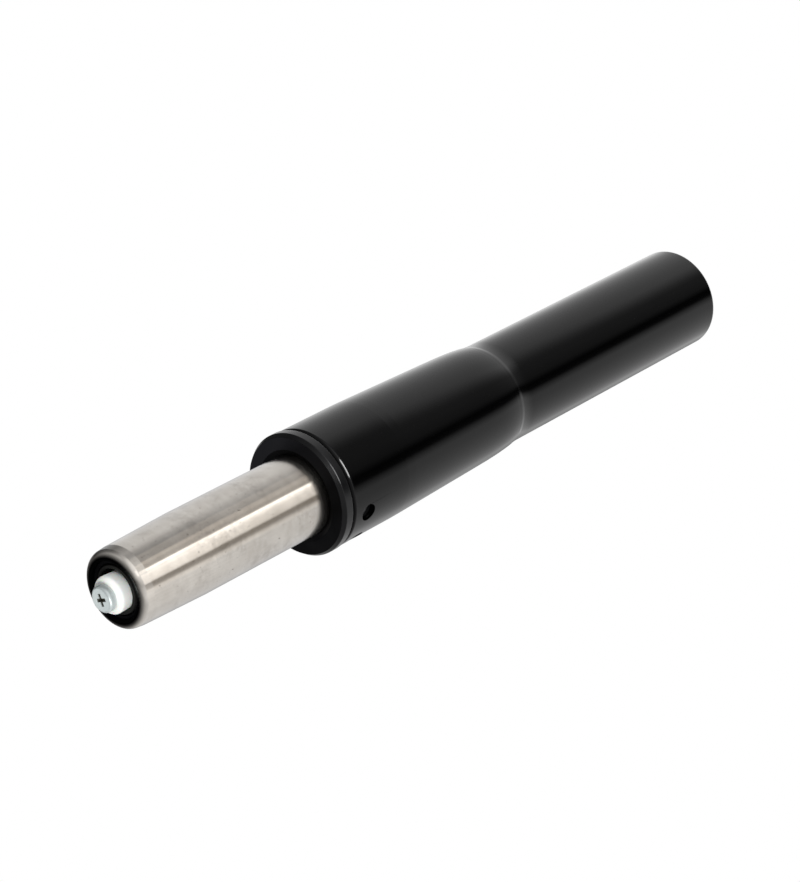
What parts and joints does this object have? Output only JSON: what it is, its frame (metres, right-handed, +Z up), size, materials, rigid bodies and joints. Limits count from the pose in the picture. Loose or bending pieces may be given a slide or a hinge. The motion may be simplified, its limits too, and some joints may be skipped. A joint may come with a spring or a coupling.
{
  "type": "chair gas lift cylinder",
  "caption": "Chair gas lift: chrome gas spring with a seat taper and release button, sliding and turning in a black tapered stand tube.",
  "frame": {"origin": "centre of the stand tube's lower rim, on the axis, with the lift fully down", "axes": "+Z up along the axis towards the seat, -Y towards the picture's camera, +X to the right of it"},
  "size_m": [0.0422, 0.0422, 0.2951],
  "materials": {
    "black_paint": "satin gloss",
    "chrome": "polished",
    "black_plastic": "satin",
    "white_plastic": "satin",
    "zinc_steel": "zinc plated",
    "bright_steel": "ground",
    "spring_steel": "oiled",
    "brass": "machined",
    "alloy": "machined",
    "rubber": "matte",
    "ring_plastic": "matte"
  },
  "bodies": {
    "stand": {"stand_tube": "black_paint", "bottom_plate": "zinc_steel", "guide_bush": "black_plastic", "lower_race": "bright_steel"},
    "bearing_cage": {"ball_cage": "brass", "bearing_balls": "bright_steel"},
    "rod": {"upper_race": "bright_steel", "piston_rod": "bright_steel", "bump_stop": "rubber", "clip_washer": "zinc_steel", "retaining_clip": "spring_steel", "piston": "alloy", "piston_ring": "ring_plastic", "piston_nut": "zinc_steel"},
    "cylinder": {"pressure_tube": "chrome", "inner_tube": "bright_steel", "end_washer": "zinc_steel", "rod_guide": "brass", "rod_seal": "rubber", "seal_washer": "zinc_steel", "valve_body": "brass", "valve_seals": "rubber", "pin_seal": "rubber", "valve_cap": "black_plastic"},
    "button": {"release_pin": "bright_steel", "button_cap": "white_plastic", "adjusting_screw": "zinc_steel"}
  },
  "joints": [
    {"name": "swivel", "type": "hinge", "parent": "stand", "child": "rod", "pos_m": [0, 0, 0.014], "axis": [0, 0, 1], "continuous": true},
    {"name": "cage_turn", "type": "hinge", "parent": "stand", "child": "bearing_cage", "pos_m": [0, 0, 0.014], "axis": [0, 0, 1], "continuous": true},
    {"name": "lift", "type": "slide", "parent": "rod", "child": "cylinder", "axis": [0, 0, 1], "range_m": [0, 0.08]},
    {"name": "release", "type": "slide", "parent": "cylinder", "child": "button", "axis": [0, 0, 1], "range_m": [-0.0025, 0], "stiffness_N_per_m": 2000, "springref_m": 0.002}
  ],
  "couplings": [
    {"joint": "cage_turn", "follows": "swivel", "ratio": 0.5}
  ]
}
